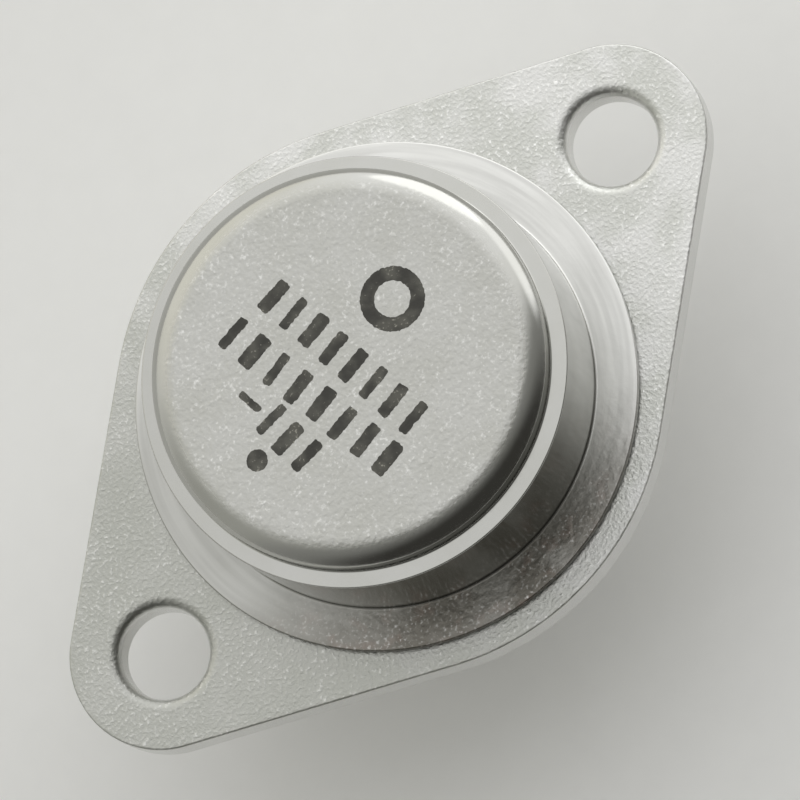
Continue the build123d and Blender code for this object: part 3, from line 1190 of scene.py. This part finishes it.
@dataclass
class BasePlate:
    """The stamped plate: two ears with mounting holes, rolled top edges, and two holes for the seals."""

    edge_round: float = 0.1
    bottom_break: float = 0.05
    rim_round: float = 0.52
    eyelet_break: float = 0.05
    edge_margin: float = 0.9
    rim_margin: float = 0.7
    eyelet_margin: float = 0.35
    end_steps: int = 56
    side_steps: int = 72
    run_steps: int = 24
    hole_steps: int = 96
    side_radius: float = field(init=False)
    end_radius: float = field(init=False)
    thickness: float = field(init=False)
    half_spacing: float = field(init=False)
    hole_radius: float = field(init=False)

    def __post_init__(self) -> None:
        """Takes the plate's sizes from the frame."""
        _, high = node_box("base_plate")
        pattern = MOUNTS["mounting_holes"]["dims"]
        self.half_spacing = pattern["spacing_x_mm"] / 2
        self.hole_radius = pattern["hole_r_mm"]
        self.side_radius = high.y
        self.end_radius = high.x - self.half_spacing
        self.thickness = high.z

    def outline(self, inset: float) -> list[Vector]:
        """Draws the plate's outline: four arcs joined by straight runs that touch them.

        Args:
            inset: How far inside the edge it runs, in millimetres.

        Returns:
            Its points in order, as many at each inset.
        """
        touch = math.acos((self.side_radius - self.end_radius) / self.half_spacing)
        arcs = [
            (self.half_spacing, self.end_radius, -touch, touch, self.end_steps),
            (0, self.side_radius, touch, math.pi - touch, self.side_steps),
            (-self.half_spacing, self.end_radius, math.pi - touch, math.pi + touch, self.end_steps),
            (0, self.side_radius, math.pi + touch, math.tau - touch, self.side_steps),
        ]
        points: list[Vector] = []
        for middle, radius, start, end, steps in arcs:
            turns = [start + (end - start) * step / steps for step in range(steps + 1)]
            reach = radius - inset
            arc = [Vector((middle + reach * math.cos(turn), reach * math.sin(turn))) for turn in turns]
            if points:
                points.extend(self._run(points[-1], arc[0]))
            points.extend(arc)
        points.extend(self._run(points[-1], points[0]))
        return points

    def _run(self, start: Vector, end: Vector) -> list[Vector]:
        """Divides a straight run, without its ends."""
        return [start.lerp(end, step / self.run_steps) for step in range(1, self.run_steps)]

    def circle(self, middle: tuple[float, float], radius: float) -> list[Vector]:
        """Draws a hole's circle.

        Args:
            middle: The hole's middle.
            radius: The circle's radius.

        Returns:
            Its points in order.
        """
        turns = [math.tau * step / self.hole_steps for step in range(self.hole_steps)]
        x, y = middle
        return [Vector((x + radius * math.cos(turn), y + radius * math.sin(turn))) for turn in turns]

    def build(self) -> list[bpy.types.Object]:
        """Makes the plate and dresses it.

        Returns:
            The plate's piece.
        """
        draft = bmesh.new()
        edge = Section([
            Corner(self.edge_margin, 0),
            Corner(0, 0, self.bottom_break),
            Corner(0, self.thickness, self.edge_round),
            Corner(self.edge_margin, self.thickness),
        ])
        walls = [self._wall(draft, edge, self.outline)]
        screw_rim = self._rim(self.hole_radius, self.bottom_break, self.rim_round, self.rim_margin)
        for middle in ((-self.half_spacing, 0), (self.half_spacing, 0)):
            walls.append(self._wall(draft, screw_rim, partial(self.circle, middle)))
        eyelet_rim = self._rim(EYELET_RADIUS, self.eyelet_break, self.eyelet_break, self.eyelet_margin)
        for lead in LeadName:
            walls.append(self._wall(draft, eyelet_rim, partial(self.circle, lead.axis)))
        for level in (0, -1):
            self._fill(draft, [rings[level] for rings in walls])
        bmesh.ops.recalc_face_normals(draft, faces=draft.faces)
        mesh = bpy.data.meshes.new("stamped_plate")
        draft.to_mesh(mesh)
        draft.free()
        mesh.shade_smooth()
        mesh.materials.append(TumbledNickelPlate().material())
        return [finish_piece(add_object("stamped_plate", mesh), ["base_plate"])]

    def _rim(self, radius: float, below: float, above: float, reach: float) -> Section:
        """Draws the section of a hole's wall.

        Args:
            radius: The hole's radius.
            below: The rounding of its lower rim.
            above: The rounding of its upper rim.
            reach: How far the section runs out over the plate's faces.

        Returns:
            The section, from the bottom up.
        """
        return Section([
            Corner(radius + reach, 0),
            Corner(radius, 0, below),
            Corner(radius, self.thickness, above),
            Corner(radius + reach, self.thickness),
        ])

    def _wall(
        self, draft: bmesh.types.BMesh, section: Section, loop: Callable[[float], list[Vector]]
    ) -> list[list[bmesh.types.BMVert]]:
        """Skins a wall along a loop.

        Args:
            draft: The mesh that gets the wall.
            section: The wall's section.
            loop: What gives the loop's points at a distance of the section.

        Returns:
            The rings of points, from the bottom up.
        """
        rings = [
            [draft.verts.new(Vector((p.x, p.y, point.y)) * MM) for p in loop(point.x)]
            for point in section.points()
        ]
        for lower, upper in zip(rings, rings[1:]):
            for index in range(len(lower)):
                draft.faces.new((lower[index - 1], lower[index], upper[index], upper[index - 1]))
        return rings

    def _fill(self, draft: bmesh.types.BMesh, loops: list[list[bmesh.types.BMVert]]) -> None:
        """Fills one face of the plate between its outline and its holes.

        Args:
            draft: The mesh that gets the face.
            loops: The outline's ring, then each hole's.
        """
        corners = [vert for loop in loops for vert in loop]
        for triangle in tessellate_polygon([[vert.co for vert in loop] for loop in loops]):
            draft.faces.new([corners[index] for index in triangle])


# -----------------------------------------------------------------------------------------------
# The marks
# -----------------------------------------------------------------------------------------------


class StampTree(PieceTree):
    """A node tree that stamps a row of plain marks, each a filled box or disc, or a ring."""

    NAME = "stamped_row"
    INPUTS = {
        "Count": "NodeSocketInt",
        "Seed": "NodeSocketInt",
        "Pitch": "NodeSocketFloat",
        "Width": "NodeSocketFloat",
        "Height": "NodeSocketFloat",
        "Corner": "NodeSocketFloat",
        "Hole": "NodeSocketFloat",
        "Spread": "NodeSocketFloat",
        "Wobble": "NodeSocketFloat",
        "Ragged": "NodeSocketFloat",
        "Thickness": "NodeSocketFloat",
        "Level": "NodeSocketFloat",
        "Heading": "NodeSocketFloat",
        "Start": "NodeSocketVector",
        "Finish": "NodeSocketMaterial",
    }
    CORNER_STEPS = 10

    # How near two points are merged, in metres
    SEAM = 1e-8

    def __init__(self, edge_step: float, edge_grain: float) -> None:
        """Builds the tree.

        Args:
            edge_step: How far apart the points along a mark's edge are, in metres.
            edge_grain: The size of the edge's unevenness, in metres.
        """
        super().__init__()
        self.edge_step = edge_step
        self.edge_grain = edge_grain
        marks = self._fill(self._roughen(self._row(self._mark())))
        rise = self.add("ShaderNodeCombineXYZ", {"Z": self.given["Level"]})
        lifted = self.add("GeometryNodeTransform", {"Geometry": marks, "Translation": rise})
        self.hand_out(self.add("GeometryNodeSetShadeSmooth", {"Geometry": lifted, "Shade Smooth": False}))

    def _join(self, *parts: bpy.types.Node) -> bpy.types.Node:
        """Joins several pieces of geometry.

        Args:
            parts: The nodes that give them.

        Returns:
            The node that gives them as one.
        """
        joined = self.add("GeometryNodeJoinGeometry")
        for part in parts:
            self.tree.links.new(part.outputs[0], joined.inputs[0])
        return joined

    def _mark(self) -> bpy.types.Node:
        """Draws one mark's edges: its outer edge, and its hole's where it has one.

        Returns:
            The node that gives the edges.
        """
        size = [self.given["Width"], self.given["Height"]]
        shape = self.add("GeometryNodeCurvePrimitiveQuadrilateral", size)
        outer = self.add(
            "GeometryNodeFilletCurve", [shape, self.CORNER_STEPS, self.given["Corner"]], mode="POLY"
        )
        hole = self.given["Hole"]
        scale = self.add("ShaderNodeCombineXYZ", [hole, hole, 1.0])
        inner = self.add("GeometryNodeTransform", {"Geometry": outer, "Scale": scale})
        has_hole = self.add("ShaderNodeMath", [hole, 0.0], operation="GREATER_THAN")
        cut = self.add("GeometryNodeSwitch", {"Switch": has_hole, "True": inner}, input_type="GEOMETRY")
        evened = {"Curve": self._join(outer, cut), "Length": self.edge_step}
        return self.add("GeometryNodeResampleCurve", evened, mode="LENGTH")

    def _row(self, mark: bpy.types.Node) -> bpy.types.Node:
        """Sets copies of a mark along the row, each a little turned, narrowed and out of line.

        Args:
            mark: The node that gives the mark.

        Returns:
            The node that gives the row.
        """
        wobble = self.given["Wobble"]
        along = self.add("ShaderNodeCombineXYZ", {"X": self.given["Pitch"]})
        spacing = {"Count": self.given["Count"], "Offset": along}
        line = self.add("GeometryNodeMeshLine", spacing, mode="OFFSET")
        chance = self.add(
            "FunctionNodeRandomValue",
            {"Min": (-1, -1, -1), "Max": (1, 1, 1), "Seed": self.given["Seed"]},
            data_type="FLOAT_VECTOR",
        )
        parts = self.add("ShaderNodeSeparateXYZ", [chance]).outputs
        slip = self.add("ShaderNodeMath", [parts["Y"], wobble], operation="MULTIPLY")
        shift = self.add("ShaderNodeMath", [slip, MM], operation="MULTIPLY")
        offset = self.add("ShaderNodeCombineXYZ", {"Y": shift})
        points = self.add("GeometryNodeSetPosition", {"Geometry": line, "Offset": offset})
        lean = self.add("ShaderNodeMath", [parts["Z"], wobble], operation="MULTIPLY")
        width = self.add("ShaderNodeMath", [parts["X"], self.given["Spread"], 1.0], operation="MULTIPLY_ADD")
        set_out = self.add(
            "GeometryNodeInstanceOnPoints",
            {
                "Points": points,
                "Instance": mark,
                "Rotation": self.add("ShaderNodeCombineXYZ", {"Z": lean}),
                "Scale": self.add("ShaderNodeCombineXYZ", [width, 1.0, 1.0]),
            },
        )
        heading = self.add("ShaderNodeCombineXYZ", {"Z": self.given["Heading"]})
        placed = self.add("GeometryNodeTransform", [set_out, self.given["Start"], heading])
        return self.add("GeometryNodeRealizeInstances", [placed])

    def _roughen(self, row: bpy.types.Node) -> bpy.types.Node:
        """Makes the marks' edges uneven, as ink runs on a grained surface.

        Args:
            row: The node that gives the row.

        Returns:
            The node that gives the roughened row.
        """
        noise = self.add("ShaderNodeTexNoise", {"Scale": 1 / self.edge_grain, "Detail": 2.0})
        centred = self.add(
            "ShaderNodeVectorMath", [noise.outputs["Color"], (0.5, 0.5, 0.5)], operation="SUBTRACT"
        )
        flat = self.add("ShaderNodeVectorMath", [centred, (1, 1, 0)], operation="MULTIPLY")
        offset = self.add("ShaderNodeVectorMath", [flat, self.given["Ragged"]], operation="SCALE")
        return self.add("GeometryNodeSetPosition", {"Geometry": row, "Offset": offset})

    def _fill(self, row: bpy.types.Node) -> bpy.types.Node:
        """Fills the marks and gives them the ink's thickness, closed all round.

        Args:
            row: The node that gives the marks' edges.

        Returns:
            The node that gives the closed marks.
        """
        face = self.add("GeometryNodeFillCurve", [row], mode="TRIANGLES")
        raised = self.add(
            "GeometryNodeExtrudeMesh",
            {"Mesh": face, "Offset Scale": self.given["Thickness"], "Individual": False},
        )
        closed = self._join(raised, self.add("GeometryNodeFlipFaces", [face]))
        return self.add("GeometryNodeMergeByDistance", {"Geometry": closed, "Distance": self.SEAM})


@dataclass(frozen=True)
class MarkRow:
    """A row of plain marks, in millimetres and degrees, with the place of its first mark's middle."""

    name: str
    start: tuple[float, float]
    count: int = 1
    pitch: float = 0.0
    width: float = 0.56
    height: float = 1.62
    corner: float = 0.12
    hole: float = 0.0
    spread: float = 0.0
    heading: float = -89.0
    seed: int = 1


@dataclass
class StampedMarks:
    """The ink marks on the cap: three rows of plain bars, a dash, a plain ring and a plain dot."""

    top: float
    thickness: float = 0.006
    wobble: float = 0.045
    ragged: float = 0.15
    edge_step: float = 0.07
    edge_grain: float = 0.16
    rows: Sequence[MarkRow] = (
        MarkRow("ink_ring", (3.5, 0.3), width=2.9, height=2.9, corner=1.45, hole=0.56),
        MarkRow("ink_row_1", (0.2, 4.45), count=8, pitch=1.2, spread=0.3, heading=-89.6, seed=3),
        MarkRow("ink_row_2", (-2.2, 4.75), count=8, pitch=1.29, spread=0.3, heading=-87.6, seed=5),
        MarkRow("ink_dash", (-3.92, 2.1), width=1.2, height=0.32, corner=0.1),
        MarkRow("ink_row_3", (-3.9, 0.85), count=3, pitch=1.15, spread=0.3, heading=-94.0, seed=8),
        MarkRow("ink_dot", (-5.6, 0.1), width=0.98, height=0.98, corner=0.49),
    )

    def build(self) -> list[bpy.types.Object]:
        """Stamps each row.

        Returns:
            The rows' pieces.
        """
        stamp = StampTree(self.edge_step * MM, self.edge_grain * MM)
        ink = StampInk().material()
        made = []
        for row in self.rows:
            values = {
                "Count": row.count,
                "Seed": row.seed,
                "Pitch": row.pitch * MM,
                "Width": row.width * MM,
                "Height": row.height * MM,
                "Corner": row.corner * MM,
                "Hole": row.hole,
                "Spread": row.spread,
                "Wobble": self.wobble if row.count > 1 else 0.0,
                "Ragged": self.ragged * MM,
                "Thickness": self.thickness * MM,
                "Level": self.top * MM,
                "Heading": math.radians(row.heading),
                "Start": Vector((*row.start, 0)) * MM,
                "Finish": ink,
            }
            piece = stamp.make(row.name, bpy.data.meshes.new(row.name), values)
            made.append(finish_piece(piece))
        return made


# -----------------------------------------------------------------------------------------------
# The hidden pieces
# -----------------------------------------------------------------------------------------------


class InnerPieces:
    """The pieces sealed inside the can, which keep their CAD shapes."""

    def build(self) -> list[bpy.types.Object]:
        """Gives each CAD piece that nothing stands for the finish of its slot in the record.

        Returns:
            The pieces.
        """
        materials = {slot: finish.material() for slot, finish in INNER_FINISHES.items()}
        slots = {part["node"]: part["material_slot"] for part in frame["record"]["subparts"]}
        kept = {name: piece for name, piece in frame["nodes"].items() if not piece.hide_render}
        for name, piece in kept.items():
            piece.data.materials.clear()
            piece.data.materials.append(materials[slots[name]])
        return list(kept.values())


# -----------------------------------------------------------------------------------------------
# The studio
# -----------------------------------------------------------------------------------------------


@dataclass(frozen=True)
class Panel:
    """A round stretch of the sky with a soft edge, in degrees: its heading and its angle from straight up."""

    heading: float
    tilt: float
    inner: float
    outer: float
    colour: str
    strength: float = 1.0


@dataclass
class Sky:
    """The soft light round the object: bright on the far side, dim on the near one, pale at the horizon."""

    base: str = "#F4F4F0"
    panels: Sequence[Panel] = (
        Panel(heading=75, tilt=70, inner=18, outer=58, colour="#FFFDF4", strength=1.28),
        Panel(heading=90, tilt=16, inner=10, outer=26, colour="#FFFFFF", strength=1.13),
        Panel(heading=172, tilt=70, inner=14, outer=46, colour="#C6C6C0"),
        Panel(heading=34, tilt=52, inner=14, outer=50, colour="#FFFFFF", strength=1.4),
        Panel(heading=-98, tilt=90, inner=74, outer=95, colour="#A2A29F"),
        Panel(heading=-98, tilt=90, inner=42, outer=76, colour="#484744"),
        Panel(heading=38, tilt=74, inner=16, outer=34, colour="#FFFFFF", strength=1.5),
        Panel(heading=2, tilt=80, inner=12, outer=26, colour="#FFFFFF", strength=1.85),
        Panel(heading=0, tilt=180, inner=86, outer=92, colour="#D8D8D5"),
    )

    def build(self) -> None:
        """Makes the world's shader, with each panel laid over those before it."""
        world = bpy.data.worlds.new("studio")
        bpy.context.scene.world = world
        world.use_nodes = True
        tree = world.node_tree
        tree.nodes.clear()
        where = add_node(tree, "ShaderNodeTexCoord").outputs["Generated"]
        seen: object = linear(self.base)
        for panel in self.panels:
            middle = direction(panel.heading, 90 - panel.tilt)
            cosine = add_node(tree, "ShaderNodeVectorMath", [where, middle], operation="DOT_PRODUCT")
            edges = [math.cos(math.radians(angle)) for angle in (panel.outer, panel.inner)]
            share = add_node(tree, "ShaderNodeMapRange", [cosine, *edges], **EASED)
            light = (*(part * panel.strength for part in linear(panel.colour)[:3]), 1.0)
            seen = add_node(tree, "ShaderNodeMix", [share, seen, light], data_type="RGBA")
        shown = add_node(tree, "ShaderNodeBackground", {"Color": seen})
        add_node(tree, "ShaderNodeOutputWorld", {"Surface": shown})


@dataclass
class DiscLamp:
    """A round lamp that faces the object, placed in degrees and millimetres."""

    heading: float = 32.0
    elevation: float = 22.0
    distance: float = 75.0
    size: float = 44.0
    radiance: float = 0.8

    def build(self) -> None:
        """Makes the lamp, whose power is its radiance times pi times its area."""
        lamp = bpy.data.lights.new("key", "AREA")
        lamp.shape = "DISK"
        lamp.size = self.size * MM
        area = math.pi * (lamp.size / 2) ** 2
        lamp.energy = self.radiance * math.pi * area
        away = direction(self.heading, self.elevation)
        holder = add_object("key", lamp)
        holder.location = away * self.distance * MM
        holder.rotation_mode = "QUATERNION"
        holder.rotation_quaternion = away.to_track_quat("Z", "Y")


@dataclass
class Floor:
    """A wide floor of matt pale paper, just under the tips of the leads."""

    span: float = 6000.0
    gap: float = 0.05
    colour: str = "#F1F1EF"
    mottle: str = "#EDEDEB"
    fibre: float = 1.5

    def material(self) -> bpy.types.Material:
        """Builds the paper's material.

        Returns:
            The material.
        """
        paint = Painter("matt_paper")
        fibre = paint.blotches(self.fibre, detail=3.0)
        colours = [linear(self.colour), linear(self.mottle)]
        return paint.surface({
            "Base Color": paint.add("ShaderNodeMix", [fibre, *colours], data_type="RGBA"),
            "Roughness": 0.9,
            "Specular IOR Level": 0.2,
        })

    def build(self) -> None:
        """Makes the floor."""
        height = CAD_BOX[0].z / MM - self.gap
        half = self.span / 2
        edges = ((-half, -half), (half, -half), (half, half), (-half, half))
        corners = [Vector((x, y, height)) * MM for x, y in edges]
        mesh = bpy.data.meshes.new("floor")
        mesh.from_pydata(corners, [], [(0, 1, 2, 3)])
        mesh.materials.append(self.material())
        add_object("floor", mesh)


@dataclass
class ViewCamera:
    """The camera, placed in degrees and millimetres about the point of the plate that it looks at."""

    heading: float = -85.87
    elevation: float = 72.38
    distance: float = 296.6
    roll: float = 52.85
    lens: float = 301.9
    look_at: tuple[float, float] = (0.27, -0.58)
    nearest: float = 10.0
    farthest: float = 10000.0

    def build(self) -> None:
        """Makes the camera and gives it to the scene."""
        back = direction(self.heading, self.elevation)
        roll = math.radians(self.roll)
        upright = (Vector((0, 0, 1)) - back * back.z).normalized()
        across = upright.cross(back)
        up = upright * math.cos(roll) + across * math.sin(roll)
        right = up.cross(back)
        plate_top = node_box("base_plate")[1].z
        target = Vector((*self.look_at, plate_top))
        camera = bpy.data.cameras.new("camera")
        camera.lens = self.lens
        camera.clip_start = self.nearest * MM
        camera.clip_end = self.farthest * MM
        holder = add_object("camera", camera)
        turn = Matrix((right, up, back)).transposed().to_4x4()
        holder.matrix_world = Matrix.Translation((target + back * self.distance) * MM) @ turn
        bpy.context.scene.camera = holder


class Studio:
    """The camera, the sky, the floor and the lamp."""

    def build(self) -> None:
        """Sets the studio up."""
        bpy.context.scene.view_settings.view_transform = "Standard"
        for part in (ViewCamera(), Sky(), Floor(), DiscLamp()):
            part.build()


def main() -> None:
    """Builds each sub-assembly in order and reports its pieces."""
    logging.basicConfig(level=logging.INFO, format="%(name)s: %(message)s")
    Studio().build()
    lathe = LatheTree()
    cap = Cap(lathe)
    for assembly in (BasePlate(), cap, Leads(lathe), StampedMarks(cap.top), InnerPieces()):
        for piece in assembly.build():
            log.info("%s: %d faces", piece.name, len(piece.data.polygons))


if __name__ == "__main__":
    main()
